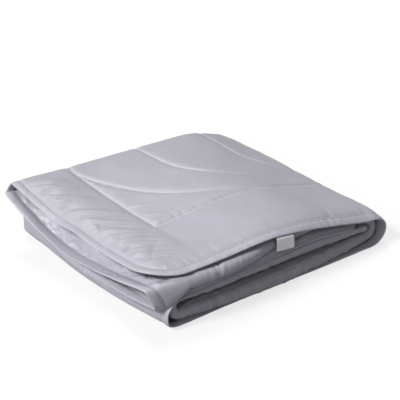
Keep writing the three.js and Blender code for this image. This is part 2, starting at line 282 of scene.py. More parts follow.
LOW_FOLD = [
    # u, how much nearer the bottom run's second layer comes to the first at the front
    (0, 0.0),
    (740, 0.0),
    (830, 0.4),
    (1240, 0.4),
    (1330, 0.0),
    (1940, 0.0),
]
HANG_WIDTH = 70.0
SIDE_EDGE = [
    # y, how far the top layer's free side edge stands up
    (0, 12),
    (39, 13),
    (80, 11),
    (116, 10),
    (162, 10),
    (203, 10),
    (252, 11),
    (296, 15),
    (345, 9),
    (396, 2),
    (440, 6),
    (516, 9),
    (BACK_FOLD_Y, 7),
]
SIDE_WIDTH = 100.0


def stack_top(x, y):
    """How high the folded stack stands."""
    front, middle, back = (smooth_table(STACK_TOP, x, column) for column in (1, 2, 3))
    t = np.clip(y / BACK_FOLD_Y, 0, 1)
    return mix(front, back, t) + (2 * middle - front - back) * 2 * t * (1 - t)


def run_levels(x, y, n):
    """Heights of layer n in the bottom, middle and top runs."""
    towards_right = smoothstep(x, BOTTOM_HEIGHT["from_x"], RIGHT_X)
    bottom_top = mix(BOTTOM_HEIGHT["left"], BOTTOM_HEIGHT["right"], towards_right)
    floor = bottom_top + SLOT
    top = stack_top(x, y)
    middle_top = mix(floor, top, smooth_table(MIDDLE_SHARE, x))
    share = (n + 1.5) / 3
    bottom = bottom_top * (1.5 - n) / 3
    return np.array([bottom, mix(floor, middle_top, share), mix(middle_top, top, share)])


def hanging_end(s, shape, steep, last, length):
    """Travel outward and downward along an end that bends over, drops and runs out level."""
    steep, last = np.radians(steep), np.radians(last)
    first_arc = shape["first"] * steep
    last_arc = shape["last"] * (steep - last)
    straight = length - first_arc - last_arc - shape["ledge"]
    on_first = np.clip(s, 0, first_arc) / shape["first"]
    on_straight = np.clip(s - first_arc, 0, straight)
    angle = steep - np.clip(s - first_arc - straight, 0, last_arc) / shape["last"]
    on_ledge = np.maximum(s - first_arc - straight - last_arc, 0)
    out = shape["first"] * np.sin(on_first) + on_straight * np.cos(steep)
    out = out + shape["last"] * (np.sin(steep) - np.sin(angle)) + on_ledge * np.cos(last)
    down = shape["first"] * (1 - np.cos(on_first)) + on_straight * np.sin(steep)
    down = down + shape["last"] * (np.cos(angle) - np.cos(steep)) + on_ledge * np.sin(last)
    return out, down


def lower_layer_end(u, y, n, shape, table):
    """x and z of the second or third layer, which hangs over its free end at the left."""
    steep, last, length = (smooth_table(table, y, column) for column in (1, 2, 3))
    x = u - (length - shape["from_x"]) * smoothstep(LONGER_WIDTH - u, 0, LONGER_WIDTH)
    out, down = hanging_end(np.maximum(shape["from_x"] - x, 0), shape, steep, last, length)
    x = np.where(x < shape["from_x"], shape["from_x"] - out, x)
    return x, run_levels(x, y, n)[2] - down


def top_layer_end(u, y, n):
    """x and z of the first layer, which reaches out past the others with its edge turned up."""
    bend = math.radians(TOP_LAYER_BEND) / BEND_LENGTH
    turned = bend * np.maximum(OVERHANG_X - u, 0)
    x = np.where(u < OVERHANG_X, OVERHANG_X - np.sin(turned) / bend, u)
    lift = smooth_table(SIDE_EDGE, y) * np.clip(1 - u / SIDE_WIDTH, 0, 1) ** 2
    return x, run_levels(x, y, n)[2] - (1 - np.cos(turned)) / bend + lift


def squashed(x, y):
    """The share of their height that the two lower runs keep near their left fold."""
    near_left = 1 - smoothstep(x, SQUASH_FROM, SQUASH_TO)
    return 1 - smooth_table(LEFT_SQUASH, y) * near_left


def strip_place(u, y, n):
    """x and z of the strip's layer n at u along it and y across the stack."""
    top_end, wrap_end, bottom_end, turn_end = RUN_ENDS[:4]
    x1, z1 = top_layer_end(u, y, n)
    x2, z2 = lower_layer_end(u, y, np.minimum(n, 0), LAYER2_END, LAYER2_SIDE)
    x3, z3 = lower_layer_end(u, y, np.minimum(n, 0), LAYER3_END, LAYER3_SIDE)
    x_top = np.where(n > 0, mix(x2, x1, n), mix(x2, x3, -n))
    z_top = np.where(n > 0, mix(z2, z1, n), mix(z2, z3, -n))

    below, _, above = run_levels(np.full_like(u, RIGHT_X), y, n)
    share = np.clip((u - top_end) / WRAP_LENGTH, 0, 1)
    rounded = mix(1, WRAP_REACH["back"], smoothstep(y, WRAP_REACH["from_y"], BACK_FOLD_Y))
    reach = (WRAP_REACH["middle"] + WRAP_REACH["layer"] * n) * rounded
    x_wrap = RIGHT_X + reach * np.sin(np.pi * share)
    z_wrap = (above + below) / 2 + (above - below) / 2 * np.cos(np.pi * share)

    x_bottom = RIGHT_X - (u - wrap_end)
    z_bottom = run_levels(x_bottom, y, n)[0] * squashed(x_bottom, y)

    at_left = np.full_like(u, LEFT_X)
    below, above, _ = run_levels(at_left, y, n) * squashed(at_left, y)
    share = np.clip((u - bottom_end) / TURN_LENGTH, 0, 1)
    cosine = np.cos(np.pi * share)
    power = np.where(cosine > 0, 1 - TURN_REACH["square"] * np.clip(n + 1, 0, 2) / 2, 1)
    spread = smooth_table(TURN_SPREAD, y)
    out = np.maximum(np.sin(np.pi * share), 0) ** power
    x_turn = LEFT_X - (TURN_REACH["middle"] + TURN_REACH["layer"] * n) * spread * out
    z_turn = (above + below) / 2 - (above - below) / 2 * np.sign(cosine) * np.abs(cosine) ** power

    x_middle = LEFT_X + (u - turn_end)
    z_middle = run_levels(x_middle, y, n)[1] * squashed(x_middle, y)
    runs = [u <= end for end in RUN_ENDS[:4]]
    x = np.select(runs, [x_top, x_wrap, x_bottom, x_turn], x_middle)
    z = np.select(runs, [z_top, z_wrap, z_bottom, z_turn], z_middle)
    return x, z


def across(v, square):
    """Where a length across the open cloth lies in the stack, and in which layer."""
    e1, e2, e3, e4 = PANEL_ENDS[:4]
    angle_back = np.pi * np.clip((v - e1) / FOLD_LENGTH, 0, 1)
    angle_front = np.pi * np.clip((v - e3) / FOLD_LENGTH, 0, 1)
    panels = [v <= e1, v <= e2, v <= e3, v <= e4]
    y = np.select(
        panels,
        [
            v,
            BACK_FOLD_Y + FOLD_REACH * np.sin(angle_back),
            BACK_FOLD_Y - (v - e2),
            FRONT_FOLD_Y - FOLD_REACH * np.sin(angle_front) ** square,
        ],
        FRONT_FOLD_Y + (v - e4),
    )
    one = np.ones_like(v)
    cosine = np.cos(angle_front)
    cosine = np.sign(cosine) * np.abs(cosine) ** square
    n = np.select(panels, [one, 0.5 + np.cos(angle_back) / 2, 0 * one, cosine / 2 - 0.5], -one)
    return y, n


def cloth(u, v, lift=0.0):
    """The middle surface of the cloth in the stack's own frame, as rows of x, y, z."""
    square = mix(FOLD_SQUARE["top"], FOLD_SQUARE["below"], smoothstep(u, RUN_ENDS[0], RUN_ENDS[1]))
    y, n = across(v, square)
    out, droop, fold_back, roll = (smooth_table(FRONT_EDGE, u, column) for column in (1, 2, 3, 4))
    near = lambda width: np.clip(1 - v / width, 0, 1) ** 2
    from_front = np.clip(1 - (y - FRONT_FOLD_Y) / FOLD_BACK_WIDTH, 0, FOLD_BACK_MOST)
    behind = np.where(n <= 0, from_front, 0)
    beside_fold = np.clip(1 - (y - FRONT_FOLD_Y) / HANG_WIDTH, 0, 1) ** 2
    hang = smooth_table(FOLD_HANG, u) * beside_fold
    low = smooth_table(LOW_FOLD, u) * beside_fold
    slant = smooth_table(FOLD_SLANT, u) * beside_fold
    slant = slant * np.where(n <= 0, np.clip(-n, 0, 1) - SLANT_BACK, 0)
    n = n + low * (1 - np.minimum(np.abs(n), 1))
    x, z = strip_place(u, y, n + lift - hang * np.clip(-n, 0, 1))
    rolled = np.maximum(ROLL["length"] - v, 0)
    outward, down = hanging_end(rolled, ROLL, roll, np.minimum(roll, ROLL["edge"]), ROLL["length"])
    y = y + rolled - outward + fold_back * behind - out * near(OUT_WIDTH) - slant
    z = z - droop * near(DROOP_WIDTH) - down
    return np.stack([x, y, z], axis=-1)


PROBE = 1.0


def run_direction(u, v):
    """Along the strip, from just before a place to just after it."""
    return cloth(np.minimum(u + PROBE, CLOTH_LENGTH), v) - cloth(np.maximum(u - PROBE, 0), v)


def face_direction(u, v):
    """The unit direction square out of the cloth's face."""
    across_it = cloth(u, np.minimum(v + PROBE, CLOTH_WIDTH)) - cloth(u, np.maximum(v - PROBE, 0))
    out = np.cross(run_direction(u, v), across_it)
    return out / np.linalg.norm(out, axis=-1, keepdims=True)


def layer_spacing(u, v):
    """The distance from the middle of one layer to the middle of the next."""
    lift = 0.05
    ahead = run_direction(u, v)
    ahead /= np.linalg.norm(ahead, axis=-1, keepdims=True)
    lifted = cloth(u, v, lift) - cloth(u, v, -lift)
    return np.linalg.norm(np.cross(lifted, ahead), axis=-1) / (2 * lift)


# The sewn channels: a border inside the edge, and nested half rings
BORDER_U = 158.0
BORDER_V = 208.0
RING_PITCH = 208.0
RINGS = [
    # from the middle of a row of rings, the first ring's u, the second ring's u
    (0, 158, 366),
    (30, 166, 366),
    (60, 178, 367),
    (105, 199, 371),
    (150, 224, 387),
    (209, 266, 444),
    (257, 322, 545),
    (293, 390, 640),
    (330, 492, 745),
]
FAR = 1e3
CORNER_RADIUS = 88.0
BINDING_WIDTH = 22.0


def inside_edge(u, v):
    """How far inside the rounded outline of the open cloth a place lies."""
    from_u = np.abs(u - CLOTH_LENGTH / 2) - (CLOTH_LENGTH / 2 - CORNER_RADIUS)
    from_v = np.abs(v - CLOTH_WIDTH / 2) - (CLOTH_WIDTH / 2 - CORNER_RADIUS)
    outside = np.hypot(np.maximum(from_u, 0), np.maximum(from_v, 0))
    return CORNER_RADIUS - outside - np.minimum(np.maximum(from_u, from_v), 0)


def channels(u, v):
    """Distance to the nearest line of stitches, and the length along that line."""
    u_in = np.minimum(u, CLOTH_LENGTH - u) - BORDER_U
    v_in = np.minimum(v, CLOTH_WIDTH - v) - BORDER_V
    inward = np.minimum(u_in, v_in)
    beyond = inward <= 0
    border = np.where(beyond, np.hypot(np.minimum(u_in, 0), np.minimum(v_in, 0)), inward)
    along_border = np.where(u_in < v_in, v, u)
    row_height = (CLOTH_WIDTH - 2 * BORDER_V) / 2
    from_middle = np.abs(np.mod(v - BORDER_V, row_height) - row_height / 2)
    nearest, along_ring = np.full_like(u, FAR), np.zeros_like(u)
    for ring in range(int(CLOTH_LENGTH / RING_PITCH)):
        column = 1 if ring == 0 else 2
        at, a_little_on = (smooth_table(RINGS, from_middle + more, column) for more in (0.0, 2.0))
        slope = (a_little_on - at) / 2
        gap = np.abs(u - at - max(ring - 1, 0) * RING_PITCH) / np.hypot(1, slope)
        closer = gap < nearest
        nearest = np.where(closer, gap, nearest)
        along_ring = np.where(closer, v + 0.6 * u + 777 * (ring + 1), along_ring)
    nearest = np.where(beyond, FAR, nearest)
    return np.minimum(border, nearest), np.where(nearest < border, along_ring, along_border)


# Thickness of the filled cloth
FILL_SHARE = 0.44
MOST_HALF = 6.2
SOFT_EDGE = 45.0
SEAM_SWELL = 5.0
RIM_HALF = 2.2
FOLD_SQUEEZE = 0.82
PUFF = 1.3
VALLEY = {"depth": 0.42, "wide": 9.0, "narrow": 2.8, "wide_share": 0.4, "flattens": 0.8}
LIE = {"broad": 1.1, "fine": 0.4}
PUFF_END_U = RUN_ENDS[3] - 45.0
MARGIN_CROWN = 6.0


def room(u, v):
    """Half the thickness that the cloth has room for between its neighbours."""
    spacing = layer_spacing(u, v)
    level = FILL_SHARE * spacing
    folds = (PANEL_ENDS[0], PANEL_ENDS[2])
    away = np.minimum(*[np.abs(v - at - FOLD_LENGTH / 2) for at in folds]) - FOLD_LENGTH / 2
    in_fold = FOLD_SQUEEZE * (spacing / 2) ** 2 / FOLD_REACH
    eased = mix(in_fold, level, np.clip(away / FOLD_LENGTH, 0, 1))
    return np.minimum(np.minimum(level, eased), MOST_HALF)


def free_face(u, v):
    """1 where no layer lies on the cloth's face, which is on layer 1 outside the middle run."""
    return smoothstep(PUFF_END_U - u, 0, 30) * smoothstep(BACK_FOLD_Y - v, 0, SOFT_EDGE)


# Creases, listed one by one: three places on the open cloth that each one runs through, its half
# width and its height, which is negative in a trough.
TOP_CREASES = [
    # u1, v1, u2, v2, u3, v3, half width, height
    (28, 542, 70, 528, 124, 482, 12, 1.6),
    (34, 510, 72, 488, 156, 444, 13, 3.6),
    (22, 504, 36, 486, 64, 462, 8, -2.0),
    (18, 458, 56, 442, 134, 390, 13, 3.8),
    (16, 444, 34, 446, 52, 438, 6, 2.0),
    (12, 406, 38, 404, 76, 374, 9, -2.4),
    (14, 378, 54, 364, 150, 302, 11, 3.4),
    (16, 334, 52, 314, 138, 246, 11, 3.2),
    (28, 254, 66, 248, 136, 200, 9, 3.0),
    (18, 228, 42, 228, 74, 220, 8, 2.0),
    (24, 188, 66, 192, 116, 172, 10, 2.8),
    (22, 150, 52, 158, 84, 138, 8, -2.0),
    (22, 118, 52, 122, 94, 106, 10, 2.2),
    (16, 80, 50, 78, 92, 62, 11, 1.8),
    (26, 298, 44, 292, 58, 282, 6, 1.4),
    (22, 270, 40, 276, 50, 286, 5, 1.3),
    (24, 222, 32, 242, 52, 256, 5, -1.4),
    (26, 168, 40, 190, 56, 198, 6, -1.5),
    (162, 440, 176, 438, 198, 442, 4, 0.8),
    (164, 404, 190, 404, 220, 400, 5, 1.0),
    (164, 366, 192, 366, 236, 368, 6, 1.1),
    (163, 326, 190, 316, 232, 296, 6, 1.1),
    (163, 272, 184, 262, 220, 238, 6, 1.0),
    (162, 236, 186, 228, 224, 216, 5, 0.9),
    (48, 80, 84, 118, 128, 152, 8, -0.8),
]
FOLD_CREASES = [
    # as above, on the front fold between the second and the third layer
    (168, 1172, 180, 1150, 208, 1122, 8, 0.8),
    (186, 1172, 197, 1150, 222, 1120, 7, 0.6),
    (203, 1170, 214, 1148, 238, 1118, 7, 0.7),
    (222, 1170, 231, 1148, 250, 1122, 7, 0.5),
    (243, 1166, 250, 1146, 266, 1124, 8, 0.6),
    (120, 1166, 132, 1146, 158, 1120, 9, 0.4),
    (318, 1168, 322, 1148, 334, 1126, 8, 0.6),
    (338, 1168, 344, 1148, 354, 1124, 7, -0.7),
    (452, 1166, 456, 1148, 470, 1128, 8, 0.5),
    (505, 1166, 512, 1148, 530, 1128, 9, -0.5),
]
CREASE_STEPS = 10
CREASE_DEPTH = 1.8
LONG_SIDE = 1.3
STEEP_SIDE = 0.34


def crease_relief(creases, u, v):
    """The height of soft ridges and troughs, each round on top and thin at its ends."""
    relief = np.zeros_like(u)
    for u1, v1, u2, v2, u3, v3, half, height in creases:
        t = np.linspace(0, 1, CREASE_STEPS)
        su, sv = 2 * u2 - (u1 + u3) / 2, 2 * v2 - (v1 + v3) / 2
        line_u = u1 * (1 - t) ** 2 + 2 * su * t * (1 - t) + u3 * t**2
        line_v = v1 * (1 - t) ** 2 + 2 * sv * t * (1 - t) + v3 * t**2
        near = np.abs(u - u2) < abs(u3 - u1) + 5 * half
        near &= np.abs(v - v2) < abs(v3 - v1) + 5 * half
        pu, pv = u[near], v[near]
        best, share, behind = np.full_like(pu, FAR), np.zeros_like(pu), np.zeros(len(pu), bool)
        for k in range(CREASE_STEPS - 1):
            du, dv = line_u[k + 1] - line_u[k], line_v[k + 1] - line_v[k]
            past = (pu - line_u[k]) * du + (pv - line_v[k]) * dv
            s = np.clip(past / (du * du + dv * dv), 0, 1)
            off_u, off_v = pu - line_u[k] - s * du, pv - line_v[k] - s * dv
            gap = np.hypot(off_u, off_v)
            share = np.where(gap < best, (k + s) / (CREASE_STEPS - 1), share)
            behind = np.where(gap < best, off_v * du - off_u * dv > 0, behind)
            best = np.minimum(gap, best)
        full = np.sin(np.pi * np.clip(share * 0.94 + 0.05, 0, 1))
        taper = 0.3 + 0.7 * full
        reach = half * taper * (np.where(behind, STEEP_SIDE, LONG_SIDE) if height > 0 else 0.5)
        rounding = 0.2 * half * taper
        fall = np.exp(-(np.sqrt(best**2 + rounding**2) - rounding) / reach)
        relief[near] += CREASE_DEPTH * height * full * fall
    return relief


def gathers(along, away, shape):
    """Small ridges that stand square to a line of stitches, each as long as it happens to be."""
    spacing, reach, seed = shape["spacing"], shape["reach"], shape["seed"]
    bent = along + 5 * noise(away / 22 + seed, along / 60)
    ridges = 1 - 2.2 * np.abs(noise(bent / spacing, seed + away / 150))
    length = reach * (1 + 0.7 * noise(along / spacing / 1.7, seed + 31))
    held = 1 - 0.6 * np.exp(-((away / 3) ** 2))
    return (ridges - 0.35) * held * np.exp(-np.maximum(away, 0) / length)


FRONT_GATHER_HEIGHT = [
    # u on the front edge, height
    (0, 0.5),
    (100, 1.2),
    (240, 1.0),
    (330, 0.5),
    (430, 1.0),
    (520, 2.0),
    (640, 2.0),
    (900, 0.8),
    (1960, 0.8),
]
SIDE_GATHER_HEIGHT = 1.5
FRONT_GATHERS = {"spacing": 9.5, "reach": 15.0, "seed": 17.0}
SIDE_GATHERS = {"spacing": 13.0, "reach": 20.0, "seed": 3.0}
SEAM_GATHERS = {"spacing": 12.0, "reach": 15.0, "seed": 41.0}
SEAM_GATHER_HEIGHT = {"in_border": 0.3, "inside": 0.75}


def seam_relief(u, v):
    """The gathers beside the binding and beside the sewn channels."""
    away = np.maximum(inside_edge(u, v) - BINDING_WIDTH, 0)
    from_side, from_front = np.minimum(u, CLOTH_LENGTH - u), np.minimum(v, CLOTH_WIDTH - v)
    side = gathers(v, away, SIDE_GATHERS) * SIDE_GATHER_HEIGHT
    front = gathers(u, away, FRONT_GATHERS) * smooth_table(FRONT_GATHER_HEIGHT, u)
    relief = mix(front, side, smoothstep(from_front - from_side, -20, 20))
    d, along = channels(u, v)
    inner = smoothstep(u, BORDER_U - 2, BORDER_U + 4) * smoothstep(v, BORDER_V - 2, BORDER_V + 4)
    height = mix(SEAM_GATHER_HEIGHT["in_border"], SEAM_GATHER_HEIGHT["inside"], inner)
    return relief + gathers(along, d, SEAM_GATHERS) * height


def wrinkles(a, b, seed):
    """Uneven sharp wrinkles that run along b, closer or wider as they come."""
    bent = a + 0.35 * noise(a / 2.1 + seed, b / 1.3)
    strength = 0.65 + 0.55 * noise(a / 3 + seed, b / 2 + 8)
    return (1 - 2.6 * np.abs(noise(bent, b + seed))) * strength


def pillows(a, b, seed):
    """Uneven round pillows with sharp creases between them, drawn out along b."""
    bent = a + 0.4 * noise(a / 2.3 + seed, b / 1.2)
    strength = 0.75 + 0.5 * noise(a / 3 + seed, b / 2 + 8)
    return (2.4 * np.abs(noise(bent, b + seed)) - 0.7) * strength


MARGIN_WRINKLE = {"fine": 0.6, "height": 1.3, "slant": 0.5}
LAYER2_FACETS = {"large": 2.8, "small": 1.6}
FRONT_FOLD_MIDDLE = (PANEL_ENDS[2] + PANEL_ENDS[3]) / 2
FOLD_WRINKLE = {"top": 0.9, "below": 1.7, "width": 34.0, "fine": 0.6}


def margin_wrinkle(u, v):
    """Fine wrinkles that slant in from the top layer's side edge and die out at the border."""
    slanted = v + MARGIN_WRINKLE["slant"] * u
    coarse = pillows(slanted / 19, u / 85, 20.0)
    fine = pillows(slanted / 10 + u / 60, u / 48, 33.0)
    there = smoothstep(u, 16, 34) * smoothstep(BORDER_U + 10 - u, 0, 80) * smoothstep(v, 30, 110)
    strength = 0.6 + 0.8 * np.maximum(noise(u / 45 + 7, v / 55 + 3), -0.4)
    both = coarse + MARGIN_WRINKLE["fine"] * fine
    return MARGIN_WRINKLE["height"] * both * there * strength


def layer2_crinkle(u, v):
    """The second layer's free end, crumpled square to its edge, as the first leaves it bare."""
    large = pillows((v + 1.4 * u) / 23, (v - 1.4 * u) / 34, 50.0)
    small = pillows((v - 1.5 * u) / 15, (v + 1.2 * u) / 25, 70.0)
    facets = LAYER2_FACETS["large"] * large + LAYER2_FACETS["small"] * small
    there = smoothstep(u, 18, 34) * smoothstep(150 - u, 0, 70)
    past_back_fold = smoothstep(v, PANEL_ENDS[1] - 10, PANEL_ENDS[1] + 30)
    return facets * there * past_back_fold * smoothstep(PANEL_ENDS[2] + 15 - v, 0, 30)


def fold_wrinkle(u, v):
    """The front folds between the second and the third layer, wrinkled across the fold."""
    from_middle = v - FRONT_FOLD_MIDDLE
    there = np.exp(-((from_middle / FOLD_WRINKLE["width"]) ** 2)) * smoothstep(u, 60, 150)
    coarse = wrinkles(u / 30 + from_middle / 40, v / 60, 90.0)
    fine = wrinkles(u / 11 - v / 60, v / 40, 120.0)
    strength = np.where(u < RUN_ENDS[0], FOLD_WRINKLE["top"], FOLD_WRINKLE["below"])
    crossing = strength * (coarse + FOLD_WRINKLE["fine"] * fine) * there
    return crossing + crease_relief(FOLD_CREASES, u, v)


CRUMPLE = {"top_fold": 0.3, "lower_folds": 1.5, "fold_width": 42.0, "second_layer": 0.85}
PUCKERS = {"margin": 0.10, "binding": 0.15, "more": 0.5, "reach": 13.0}


def crumple(u, v, side):
    """How crumpled the cloth is on its face or on its back, from 0 to about 1.5."""
    if side > 0:
        in_margin = PUCKERS["margin"] * smoothstep(BORDER_U - u, 0, 60) * (v < BACK_FOLD_Y)
        puckered = smoothstep(u, 400, 520) + smoothstep(220 - u, 0, 120)
        fading = np.exp(-np.maximum(v - BINDING_WIDTH, 0) / PUCKERS["reach"])
        return np.maximum(in_margin, (PUCKERS["binding"] + PUCKERS["more"] * puckered) * fading)
    from_middle = v - FRONT_FOLD_MIDDLE
    in_fold = np.exp(-((from_middle / CRUMPLE["fold_width"]) ** 2)) * smoothstep(u, 170, 300)
    in_fold = in_fold * np.where(u < RUN_ENDS[0], CRUMPLE["top_fold"], CRUMPLE["lower_folds"])
    past_back_fold = smoothstep(v, PANEL_ENDS[1] - 20, PANEL_ENDS[1] + 10)
    in_end = past_back_fold * smoothstep(130 - u, 0, 70) * (from_middle < 0)
    towards_back = 0.25 + 0.75 * smoothstep(PANEL_ENDS[2] - v, 20, 130)
    return np.maximum(in_fold, CRUMPLE["second_layer"] * in_end * towards_back)


# Troughs that run the length of a fold: where each one lies from the fold's start, how deep it
# is and how much that changes, its half width, and how far and over what length it sways
LEFT_FOLD_LINES = {"at": (22.0, 38.0, 57.0), "depth": 1.5, "uneven": 0.8, "half": 2.6}
LEFT_FOLD_LINES |= {"sway": 3.0, "sway_length": 120.0, "seed": 3.0}
FRONT_FOLD_LINES = {"at": (3.0, 13.0, 22.0, 33.0), "depth": 1.3, "uneven": 0.9, "half": 2.2}
FRONT_FOLD_LINES |= {"sway": 2.5, "sway_length": 90.0, "seed": 13.0}


def fold_lines(from_start, along, lines):
    """The depth of the troughs along one fold, where the filling is creased."""
    depth = np.zeros_like(along)
    for k, at in enumerate(lines["at"]):
        seed, turns = k + lines["seed"], along / lines["sway_length"]
        away = from_start - at - lines["sway"] * noise(turns, seed)
        deep = lines["depth"] + lines["uneven"] * noise(2 * turns, seed + 6)
        depth = depth + deep * np.exp(-((away / lines["half"]) ** 2))
    return depth


def offsets(u, v):
    """How far the face and the back of the cloth stand off its middle surface."""
    inside = np.clip((inside_edge(u, v) - BINDING_WIDTH) / SOFT_EDGE, 0, 1)
    full = room(u, v)
    quick = 1 - np.exp(-inside * SOFT_EDGE / SEAM_SWELL)
    soft = mix(np.minimum(RIM_HALF, full), full, 0.5 * quick + 0.5 * np.sqrt(inside))
    d = channels(u, v)[0]
    wide, narrow = (np.exp(-((d / VALLEY[key]) ** 2)) for key in ("wide", "narrow"))
    share = VALLEY["wide_share"]
    valley = VALLEY["depth"] * (share * wide + (1 - share) * narrow)
    valley = valley * smoothstep(RUN_ENDS[1] - u, 0, 30)
    free = free_face(u, v)
    half = soft * (1 - valley)
    lie = LIE["broad"] * noise(u / 95 + 5, v / 80 + 11)
    lie = lie + LIE["fine"] * noise(u / 33 + 1, v / 38 + 2)
    swell = PUFF * free * inside * (1 - VALLEY["flattens"] * valley / VALLEY["depth"])
    across_margin = np.clip(u / BORDER_U, 0, 1)
    in_margin = smoothstep(v, 20, 160) * smoothstep(BACK_FOLD_Y - v, 0, 60) * (v < BACK_FOLD_Y)
    swell = swell + MARGIN_CROWN * 4 * across_margin * (1 - across_margin) * in_margin
    on_top = (u < RIGHT_X) & (v < BACK_FOLD_Y)
    relief = free * inside * lie + seam_relief(u, v) * np.minimum(0.25 + inside * 3, 1)
    relief = relief + np.where(on_top, margin_wrinkle(u, v), 0)
    creases = np.where(on_top, crease_relief(TOP_CREASES, u, v), 0)
    relief = relief + creases * np.minimum(inside * 2, 1)
    slack = np.minimum(half / 4, 1)
    crinkle = layer2_crinkle(u, v)
    face = half + swell + relief * mix(0.35, 1, free) * slack - 0.6 * crinkle
    face = face - fold_lines(u - RUN_ENDS[2], v, LEFT_FOLD_LINES) * inside
    in_lower_runs = smoothstep(u, RUN_ENDS[0] + 40, RUN_ENDS[1])
    troughs = fold_lines(v - PANEL_ENDS[2], u, FRONT_FOLD_LINES) * in_lower_runs
    back = half + 0.5 * relief * slack + crinkle + fold_wrinkle(u, v) * slack - troughs
    return face, back


def surface(u, v, offset):
    """Where a place on the cloth ends up in the finished piece, this far off the middle."""
    place = cloth(u, v) + face_direction(u, v) * offset[..., None]
    place[..., 2] = np.maximum(place[..., 2], REST_LEVEL)
    return (place - CENTRE) * MM


def steps(spans):
    """Places along a line, over spans that each have their own spacing."""
    places = []
    for start, end, step in spans:
        count = max(1, round((end - start) / step))
        places += list(np.linspace(start, end, count, endpoint=False))
    places.append(spans[-1][1])
    return np.array(places)


# The quilted body: a grid on each side of the cloth, finer where it shows, with its edge tucked
# into the binding
TUCK = 3.0
INSET = BINDING_WIDTH - TUCK
U_STEPS = steps(
    [
        (INSET, 55, 2.4),
        (55, RUN_ENDS[0], 3.3),
        (RUN_ENDS[0], RUN_ENDS[1], 4),
        (RUN_ENDS[1], RUN_ENDS[2], 7),
        (RUN_ENDS[2], RUN_ENDS[3], 2.6),
        (RUN_ENDS[3], CLOTH_LENGTH - 90, 7),
        (CLOTH_LENGTH - 90, CLOTH_LENGTH - INSET, 6),
    ]
)
V_STEPS = steps(
    [
        (INSET, PANEL_ENDS[0], 3.3),
        (PANEL_ENDS[0], PANEL_ENDS[1], 3),
        (PANEL_ENDS[1], PANEL_ENDS[2] - 40, 4.2),
        (PANEL_ENDS[2] - 40, PANEL_ENDS[2], 5),
        (PANEL_ENDS[2], PANEL_ENDS[3], 2.5),
        (PANEL_ENDS[3], PANEL_ENDS[3] + 40, 5),
        (PANEL_ENDS[3] + 40, CLOTH_WIDTH - 90, 22),
        (CLOTH_WIDTH - 90, CLOTH_WIDTH - INSET, 8),
    ]
)
EASE_WIDTH = 160.0
# Width of the painted highlight line along each sewn channel
SEAM_HIGHLIGHT_WIDTH = 3.0


def eased_across(u, v, inset):
    """Moves a place across the cloth so that the grid's edge follows the rounded corners."""
    inner = CORNER_RADIUS - inset
    into = np.clip(CORNER_RADIUS - np.minimum(u, CLOTH_LENGTH - u), 0, inner)
    start = CORNER_RADIUS - np.sqrt(inner**2 - into**2)
    from_edge = np.minimum(v, CLOTH_WIDTH - v)
    eased = start + (from_edge - inset) * (EASE_WIDTH - start) / (EASE_WIDTH - inset)
    eased = np.where(from_edge < EASE_WIDTH, eased, from_edge)
    return np.where(v < CLOTH_WIDTH / 2, eased, CLOTH_WIDTH - eased)


def grid_of(name, rows, columns):
    """A flat grid of faces, and for each of its points the row and the column."""
    bm = bmesh.new()
    bmesh.ops.create_grid(bm, x_segments=rows - 1, y_segments=columns - 1, size=0.5)
    mesh = mesh_of(name, bm)
    flat = np.empty(len(mesh.vertices) * 3)
    mesh.vertices.foreach_get("co", flat)
    flat = flat.reshape(-1, 3)
    i = np.rint((flat[:, 0] + 0.5) * (rows - 1)).astype(int)
    j = np.rint((flat[:, 1] + 0.5) * (columns - 1)).astype(int)
    return mesh, i, j


def put_pattern(mesh, u, v):
    """Keeps each point's place on the open cloth as the mesh's own map, in metres."""
    corners = np.empty(len(mesh.loops), int)
    mesh.loops.foreach_get("vertex_index", corners)
    layer = mesh.uv_layers.new(name="open cloth")
    layer.data.foreach_set("uv", (np.stack([u, v], axis=-1)[corners] * MM).ravel())


def put_mask(mesh, name, values):
    """Keeps one number for each point, which a material reads by its name."""
    attribute = mesh.attributes.new(name, "FLOAT", "POINT")
    attribute.data.foreach_set("value", values.astype(np.float32))


def join_grids(name, meshes, merge=2e-5):
    """One closed, smooth mesh of grids that share their edge points."""
    bm = bmesh.new()
    for mesh in meshes:
        bm.from_mesh(mesh)
        bpy.data.meshes.remove(mesh)
    bmesh.ops.remove_doubles(bm, verts=bm.verts, dist=merge)
    bmesh.ops.dissolve_degenerate(bm, edges=bm.edges, dist=merge / 2)
    mesh = mesh_of(name, bm)
    mesh.polygons.foreach_set("use_smooth", np.ones(len(mesh.polygons), bool))
    return add_object(name, mesh)


def add_wall(piece, thickness, offset):
    wall = piece.modifiers.new("tape", "SOLIDIFY")
    wall.thickness = thickness
    wall.offset = offset


def quilted_body():
    """The face and the back of the filled cloth, joined along their rim."""
    halves = []
    for side in (1, -1):
        mesh, i, j = grid_of("side", len(U_STEPS) + 2, len(V_STEPS) + 2)
        rim = (i == 0) | (j == 0) | (i == len(U_STEPS) + 1) | (j == len(V_STEPS) + 1)
        u = U_STEPS[np.clip(i - 1, 0, len(U_STEPS) - 1)]
        v = V_STEPS[np.clip(j - 1, 0, len(V_STEPS) - 1)]
        v = eased_across(u, v, INSET)
        face, back = offsets(u, v)
        offset = np.where(rim, 0.0, face if side > 0 else -back)
        mesh.vertices.foreach_set("co", surface(u, v, offset).ravel())
        put_pattern(mesh, u, v)
        # A mask along the sewn channels, where the material paints a highlight
        put_mask(mesh, "seam", np.exp(-((channels(u, v)[0] / SEAM_HIGHLIGHT_WIDTH) ** 2)))
        put_mask(mesh, "crumple", crumple(u, v, side))
        if side < 0:
            mesh.flip_normals()
        halves.append(mesh)
    return join_grids("quilted_duvet", halves)


